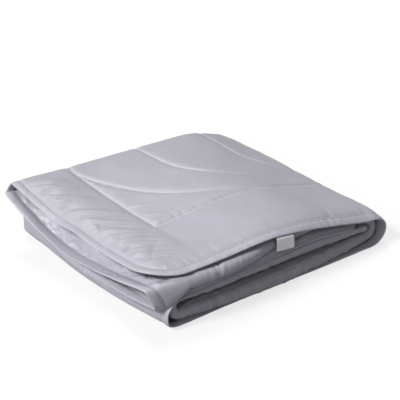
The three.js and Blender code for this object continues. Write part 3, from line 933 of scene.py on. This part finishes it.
# The edge binding: one tape folded over the whole edge and stitched down
BINDING_SECTION = [
    # in from the edge, half thickness
    (BINDING_WIDTH + 0.4, 2.0),
    (BINDING_WIDTH, 2.9),
    (BINDING_WIDTH - 1.2, 3.0),
    (BINDING_WIDTH - 2.4, 2.2),
    (BINDING_WIDTH - 4.0, 2.7),
    (14.0, 2.8),
    (9.0, 2.6),
    (5.0, 2.1),
    (2.2, 1.6),
    (0.7, 1.1),
    (0.1, 0.5),
]
TAPE_SPACING = 3.4
TAPE_SLACK = 0.4
TAPE_THICKNESS = 0.0006


def outline_places(spacing):
    """Places once round the seam of the binding, with the direction out of the cloth."""
    inset = BINDING_WIDTH
    radius = CORNER_RADIUS - inset
    long, short = CLOTH_LENGTH - 2 * CORNER_RADIUS, CLOTH_WIDTH - 2 * CORNER_RADIUS
    quarter = math.pi / 2 * radius
    starts = [
        (CORNER_RADIUS, inset, long, 0),
        (CLOTH_LENGTH - inset, CORNER_RADIUS, short, 1),
        (CLOTH_LENGTH - CORNER_RADIUS, CLOTH_WIDTH - inset, long, 2),
        (inset, CLOTH_WIDTH - CORNER_RADIUS, short, 3),
    ]
    places = []
    for start_u, start_v, length, side in starts:
        turn = side * math.pi / 2
        ahead = (math.cos(turn), math.sin(turn))
        out = (math.sin(turn), -math.cos(turn))
        count = round(length / spacing)
        for k in range(count):
            s = length * k / count
            places.append((start_u + ahead[0] * s, start_v + ahead[1] * s, *out))
        end = (start_u + ahead[0] * length, start_v + ahead[1] * length)
        centre = (end[0] - out[0] * radius, end[1] - out[1] * radius)
        count = round(quarter / spacing)
        for k in range(count):
            angle = turn + math.pi / 2 * k / count
            out = (math.sin(angle), -math.cos(angle))
            places.append((centre[0] + out[0] * radius, centre[1] + out[1] * radius, *out))
    return np.array(places).T


def edge_binding():
    """The tape, wavy at its outer edge and pleated where it is stitched down."""
    u, v, out_u, out_v = outline_places(TAPE_SPACING)
    inward, half = np.array(BINDING_SECTION).T
    inward, thick = np.append(inward, inward[::-1]), np.append(half, -half[::-1])
    mesh, i, j = grid_of("tape", len(u) + 1, len(inward))
    i = i % len(u)
    length = np.arange(len(u)) * TAPE_SPACING
    reach = BINDING_WIDTH - inward[j]
    edge_wave = 0.7 * noise(length / 60, 0.5) + 0.35 * noise(length / 14, 7.5)
    reach = reach + edge_wave[i] * np.clip(reach / BINDING_WIDTH, 0, 1)
    at_u = np.clip(u[i] + out_u[i] * reach, 0, CLOTH_LENGTH)
    at_v = np.clip(v[i] + out_v[i] * reach, 0, CLOTH_WIDTH)
    most = room(at_u, at_v) + TAPE_SLACK
    pleats = 1 + 0.2 * wrinkles(length[i] / 9, inward[j] / 30, 5.0)
    pleats = pleats + 0.15 * noise(length[i] / 19, inward[j] / 30 + 4)
    offset = np.clip(thick[j] * pleats, -most, most)
    mesh.vertices.foreach_set("co", surface(at_u, at_v, offset).ravel())
    put_pattern(mesh, length[i], inward[j] * np.sign(thick[j]))
    piece = join_grids("edge_binding", [mesh])
    add_wall(piece, TAPE_THICKNESS, -1)
    return piece


# The loop label
LABEL = {"u": 363.0, "wide": 50.0, "drop": 31.0, "below": 3.6, "stand_off": 1.2, "tuck": 5.0}
LABEL_CURL = 1.3
LABEL_LEAN = 0.03
LABEL_STEPS = 16
LABEL_THICKNESS = 0.0007


def loop_label():
    """A woven tape folded double, from under the top layer's bound edge down the front."""
    wide = LABEL["wide"]
    at = np.array([LABEL["u"], LABEL["u"] - wide, LABEL["u"] + wide])
    edge, left, right = cloth(at, np.zeros(3))
    slope = math.atan2(right[2] - left[2], right[0] - left[0])
    y0, top = edge[1], edge[2] - LABEL["below"]
    front = y0 - LABEL["stand_off"]
    low = -LABEL["drop"]
    path = [
        # y, z from the seam
        (y0 + LABEL["tuck"], 0.0),
        (y0 + 2, 0.1),
        (front, 0.0),
        (front - 1.6, -1.2),
        (front - 2.3, -4.5),
        (front - 2.6, -10.0),
        (front - 3.0, -17.0),
        (front - 3.6, -24.0),
        (front - 4.2, low + 1.5),
        (front - 3.7, low),
        (front - 2.7, low - 0.5),
        (front - 2.0, low + 0.6),
        (front - 1.6, -24.0),
        (front - 1.0, -14.0),
        (front - 0.4, -5.0),
        (y0, -2.0),
        (y0 + LABEL["tuck"], -2.2),
    ]
    mesh, i, j = grid_of("tape", len(path), LABEL_STEPS + 1)
    path = np.array(path)
    s = j / LABEL_STEPS - 0.5
    y, z = path[i, 0], path[i, 1]
    outer = np.sign(0.5 - i / len(path))
    curl = LABEL_CURL * (2 * s) ** 2 * np.clip(-z / LABEL["drop"], 0, 1) * outer
    x = s * wide + z * LABEL_LEAN
    y = y - curl - 0.5 * noise(s * 3 + 5, z / 9)
    x, z = edge[0] + x * math.cos(slope), top + z + x * math.sin(slope)
    places = np.stack([x, y, z], axis=-1)
    mesh.vertices.foreach_set("co", ((places - CENTRE) * MM).ravel())
    lengths = np.concatenate([[0], np.cumsum(np.linalg.norm(np.diff(path, axis=0), axis=1))])
    put_pattern(mesh, s * wide, lengths[i])
    piece = join_grids("loop_label", [mesh])
    add_wall(piece, LABEL_THICKNESS, 0)
    soften = piece.modifiers.new("soften", "SUBSURF")
    soften.levels = soften.render_levels = 1
    return piece


# Materials
def nodes_of(name):
    material = bpy.data.materials.new(name)
    material.use_nodes = True
    tree = material.node_tree
    tree.nodes.clear()
    return material, tree


def node(tree, kind, inputs=None, **settings):
    """A node with its settings, whose inputs are linked to sockets or set to plain values."""
    made = tree.nodes.new(kind)
    for key, value in settings.items():
        setattr(made, key, value)
    for key, value in (inputs or {}).items():
        if isinstance(value, bpy.types.NodeSocket):
            tree.links.new(value, made.inputs[key])
        else:
            made.inputs[key].default_value = value
    return made


def maths(tree, operation, *values):
    """What one Math node makes of sockets and plain numbers."""
    return node(tree, "ShaderNodeMath", dict(enumerate(values)), operation=operation).outputs[0]


def scaled(tree, vector, scale):
    """A colour or a vector times a number."""
    inputs = {0: vector, "Scale": scale}
    return node(tree, "ShaderNodeVectorMath", inputs, operation="SCALE").outputs[0]


def soft_noise(tree, where, scale, detail, roughness=0.5):
    inputs = {"Vector": where, "Scale": scale, "Detail": detail, "Roughness": roughness}
    return node(tree, "ShaderNodeTexNoise", inputs)


def new_group(name, inputs, outputs):
    """A node group with named sockets, and its input and output nodes."""
    tree = bpy.data.node_groups.new(name, "ShaderNodeTree")
    for in_out, sockets in (("INPUT", inputs), ("OUTPUT", outputs)):
        for socket, kind in sockets.items():
            kind = "NodeSocket" + kind
            tree.interface.new_socket(name=socket, in_out=in_out, socket_type=kind)
    return tree, node(tree, "NodeGroupInput"), node(tree, "NodeGroupOutput")


MOTTLE_SCALE = 9.0
SLUB_SCALE = 160.0
SLUB_ROUGHNESS = 0.12
THREAD_HEIGHT = 0.5
WEAVE_DEPTH = 0.0004


def weave_group():
    """A plain weave of uneven threads on the piece's own map, with a soft mottle of its colour."""
    inputs = {"Map": "Vector", "Colour": "Color"}
    inputs |= {"Threads": "Float", "Mottle": "Float", "Roughness": "Float"}
    outputs = {"Colour": "Color", "Roughness": "Float", "Height": "Float"}
    tree, given, result = new_group("woven cloth", inputs, outputs)
    where, colour, threads, dappled, roughness = (given.outputs[name] for name in inputs)
    parts = node(tree, "ShaderNodeSeparateXYZ", {"Vector": where})
    turns = [maths(tree, "MULTIPLY", parts.outputs[axis], threads) for axis in ("X", "Y")]
    crossing = maths(tree, "MULTIPLY", *[maths(tree, "SINE", turn) for turn in turns])
    mottle = soft_noise(tree, where, MOTTLE_SCALE, 3.0).outputs["Fac"]
    slubs = soft_noise(tree, where, SLUB_SCALE, 2.0, 0.6).outputs["Fac"]
    spread = maths(tree, "SUBTRACT", mottle, 0.5)
    bright = maths(tree, "ADD", maths(tree, "MULTIPLY", spread, dappled), 1.0)
    made = {
        "Colour": scaled(tree, colour, bright),
        "Roughness": maths(tree, "MULTIPLY_ADD", slubs, SLUB_ROUGHNESS, roughness),
        "Height": maths(tree, "MULTIPLY_ADD", crossing, THREAD_HEIGHT, slubs),
    }
    for name, value in made.items():
        tree.links.new(value, result.inputs[name])
    return tree


# Crumpled cloth: cells between creases, which are bent, turned and drawn out, in two sizes
CREASE_BEND = {"scale": 18.0, "reach": 0.030}
CREASE_TURN = 0.5
CREASE_STRETCH = (1.0, 0.55, 1.0)
CREASE_CELLS = [
    # cells to the metre, share of the height
    (30.0, 1.0),
    (66.0, 0.4),
]
CREASE_ROUNDING = 0.5
CREASE_HEIGHT = 0.0017


def crumple_group():
    """Facets with sharp creases between them, higher where the cloth is more crumpled."""
    inputs, outputs = {"Map": "Vector", "Amount": "Float"}, {"Height": "Float"}
    tree, given, result = new_group("crumpled cloth", inputs, outputs)
    where, amount = (given.outputs[name] for name in inputs)
    bend = soft_noise(tree, where, CREASE_BEND["scale"], 1.0).outputs["Color"]
    shift = scaled(tree, bend, CREASE_BEND["reach"])
    bent = node(tree, "ShaderNodeVectorMath", {0: where, 1: shift}, operation="ADD").outputs[0]
    inputs = {"Vector": bent, "Rotation": (0, 0, CREASE_TURN), "Scale": CREASE_STRETCH}
    turned = node(tree, "ShaderNodeMapping", inputs).outputs[0]
    heights = []
    for scale, share in CREASE_CELLS:
        inputs = {"Vector": turned, "Scale": scale}
        cells = node(tree, "ShaderNodeTexVoronoi", inputs, feature="DISTANCE_TO_EDGE")
        rise = maths(tree, "POWER", cells.outputs["Distance"], CREASE_ROUNDING)
        heights.append(maths(tree, "MULTIPLY", rise, share))
    height = maths(tree, "MULTIPLY", maths(tree, "ADD", *heights), amount)
    tree.links.new(height, result.inputs["Height"])
    return tree


WEAVE = weave_group()
CRUMPLED = crumple_group()
CLOTH_COLOUR = (0.345, 0.332, 0.382, 1)
TAPE_COLOUR = (0.368, 0.353, 0.406, 1)
LABEL_COLOUR = (0.86, 0.85, 0.88, 1)
SATIN = {"threads": 2400.0, "mottle": 0.05, "roughness": 0.39, "bump": 0.10, "sheen": 0.10}
TAPE = {"threads": 2400.0, "mottle": 0.05, "roughness": 0.38, "bump": 0.12, "sheen": 0.10}
LABEL_WEAVE = {"threads": 3600.0, "mottle": 0.25, "roughness": 0.6, "bump": 0.35, "sheen": 0.1}
SHEEN_ROUGHNESS = 0.4
# How much lighter the quilted cloth is painted along its sewn channels: a painted highlight
SEAM_HIGHLIGHT = 1.14
# Stitches on the tape, whose "shade" is painted shade of the tape's groove that they lie in
STITCH_LINE = {"from_edge": 0.0194, "half": 0.0009, "length": 0.0042, "gap": 0.3, "shade": 0.5}


def blended(tree, share, first, second):
    """One colour blended into another."""
    inputs = {0: share, 6: first, 7: second}
    return node(tree, "ShaderNodeMix", inputs, data_type="RGBA").outputs[2]


def bumped(tree, height, **inputs):
    return node(tree, "ShaderNodeBump", {"Height": height, **inputs}).outputs[0]


def woven_material(name, colour, finish, quilted=False):
    """Woven cloth, and if it is quilted its crumples and a painted highlight along its seams."""
    material, tree = nodes_of(name)
    where = node(tree, "ShaderNodeUVMap", uv_map="open cloth").outputs[0]
    inputs = {"Map": where, "Colour": colour, "Threads": finish["threads"]}
    inputs |= {"Mottle": finish["mottle"], "Roughness": finish["roughness"]}
    weave = node(tree, "ShaderNodeGroup", inputs, node_tree=WEAVE)
    shown = weave.outputs["Colour"]
    height = weave.outputs["Height"]
    normal = bumped(tree, height, Strength=finish["bump"], Distance=WEAVE_DEPTH)
    if quilted:
        # Painted highlight: the colour is made lighter along the sewn channels
        seam = node(tree, "ShaderNodeAttribute", attribute_name="seam").outputs["Fac"]
        shade = tuple(c * SEAM_HIGHLIGHT for c in colour[:3]) + (1,)
        shown = blended(tree, seam, shown, shade)
        amount = node(tree, "ShaderNodeAttribute", attribute_name="crumple").outputs["Fac"]
        inputs = {"Map": where, "Amount": amount}
        creased = node(tree, "ShaderNodeGroup", inputs, node_tree=CRUMPLED).outputs["Height"]
        normal = bumped(tree, creased, Normal=normal, Distance=CREASE_HEIGHT)
    inputs = {"Base Color": shown, "Roughness": weave.outputs["Roughness"], "Normal": normal}
    inputs |= {"Sheen Weight": finish["sheen"], "Sheen Roughness": SHEEN_ROUGHNESS}
    shader = node(tree, "ShaderNodeBsdfPrincipled", inputs)
    node(tree, "ShaderNodeOutputMaterial", {"Surface": shader.outputs[0]})
    return material


def add_stitches(material):
    """One row of stitches on each side of the tape, from its own map, darkened as painted shade of
    the groove they lie in.
    """
    tree = material.node_tree
    shader = next(n for n in tree.nodes if n.bl_idname == "ShaderNodeBsdfPrincipled")
    plain = shader.inputs["Base Color"].links[0].from_socket
    where = node(tree, "ShaderNodeUVMap", uv_map="open cloth")
    parts = node(tree, "ShaderNodeSeparateXYZ", {"Vector": where.outputs[0]}).outputs
    inward = maths(tree, "ABSOLUTE", parts["Y"])
    near = maths(tree, "COMPARE", inward, STITCH_LINE["from_edge"], STITCH_LINE["half"])
    part = maths(tree, "FRACT", maths(tree, "DIVIDE", parts["X"], STITCH_LINE["length"]))
    thread = maths(tree, "GREATER_THAN", part, STITCH_LINE["gap"])
    here = maths(tree, "MULTIPLY", near, thread)
    # Painted shade in the tape's stitched groove
    painted_groove_shade = scaled(tree, plain, STITCH_LINE["shade"])
    tree.links.new(blended(tree, here, plain, painted_groove_shade), shader.inputs["Base Color"])
    return material


def dress(piece, material, replaced):
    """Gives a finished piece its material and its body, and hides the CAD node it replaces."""
    piece.data.materials.clear()
    piece.data.materials.append(material)
    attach(piece, "root")
    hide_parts(replaced)


# Floor and light
FLOOR_HALF = 12.0
FLOOR_SEEN = (0.19, 0.19, 0.19, 1)
FLOOR_GLOW = 0.735
FLOOR_BOUNCE = (0.30, 0.30, 0.31, 1)
WHITE = (1.0, 1.0, 1.0, 1)


def add_floor():
    """A plain floor that the camera sees pale, and that throws less light back at the cloth."""
    bm = bmesh.new()
    bmesh.ops.create_grid(bm, x_segments=1, y_segments=1, size=FLOOR_HALF)
    mesh = mesh_of("floor", bm)
    floor = add_object("floor", mesh)
    material, tree = nodes_of("pale floor")
    seen = node(tree, "ShaderNodeBsdfDiffuse", {"Color": FLOOR_SEEN})
    glow = node(tree, "ShaderNodeEmission", {"Color": WHITE, "Strength": FLOOR_GLOW})
    backdrop = node(tree, "ShaderNodeAddShader", {0: seen.outputs[0], 1: glow.outputs[0]})
    bounce = node(tree, "ShaderNodeBsdfDiffuse", {"Color": FLOOR_BOUNCE})
    seen_directly = node(tree, "ShaderNodeLightPath").outputs["Is Camera Ray"]
    inputs = {0: seen_directly, 1: bounce.outputs[0], 2: backdrop.outputs[0]}
    either = node(tree, "ShaderNodeMixShader", inputs)
    node(tree, "ShaderNodeOutputMaterial", {"Surface": either.outputs[0]})
    mesh.materials.append(material)


LIGHTS = [
    # name, direction it comes from, strength, width in degrees
    ("side key", (-0.74, 0.12, 0.66), 3.9, 16.0),
    ("low fill", (-0.84, -0.40, 0.37), 0.45, 8.0),
    ("overhead", (0.17, 0.48, 0.86), 1.15, 20.0),
]
SKY_STRENGTH = 0.23


def add_lights():
    for name, come_from, strength, width in LIGHTS:
        data = bpy.data.lights.new(name, "SUN")
        data.energy = strength
        data.angle = math.radians(width)
        lamp = add_object(name, data)
        lamp.location = 3 * Vector(come_from)
        turn_towards(lamp, Vector(come_from), "Z")
    world = bpy.data.worlds.new("studio")
    bpy.context.scene.world = world
    world.use_nodes = True
    sky = world.node_tree.nodes["Background"]
    sky.inputs["Color"].default_value = WHITE
    sky.inputs["Strength"].default_value = SKY_STRENGTH


add_floor()
add_lights()
bpy.context.scene.view_settings.view_transform = "Standard"

body = quilted_body()
binding = edge_binding()
label = loop_label()
satin = woven_material("quilted satin", CLOTH_COLOUR, SATIN, quilted=True)
tape = woven_material("binding tape", TAPE_COLOUR, TAPE)
dress(body, satin, "duvet")
dress(binding, add_stitches(tape), "binding")
dress(label, woven_material("label weave", LABEL_COLOUR, LABEL_WEAVE), "label")
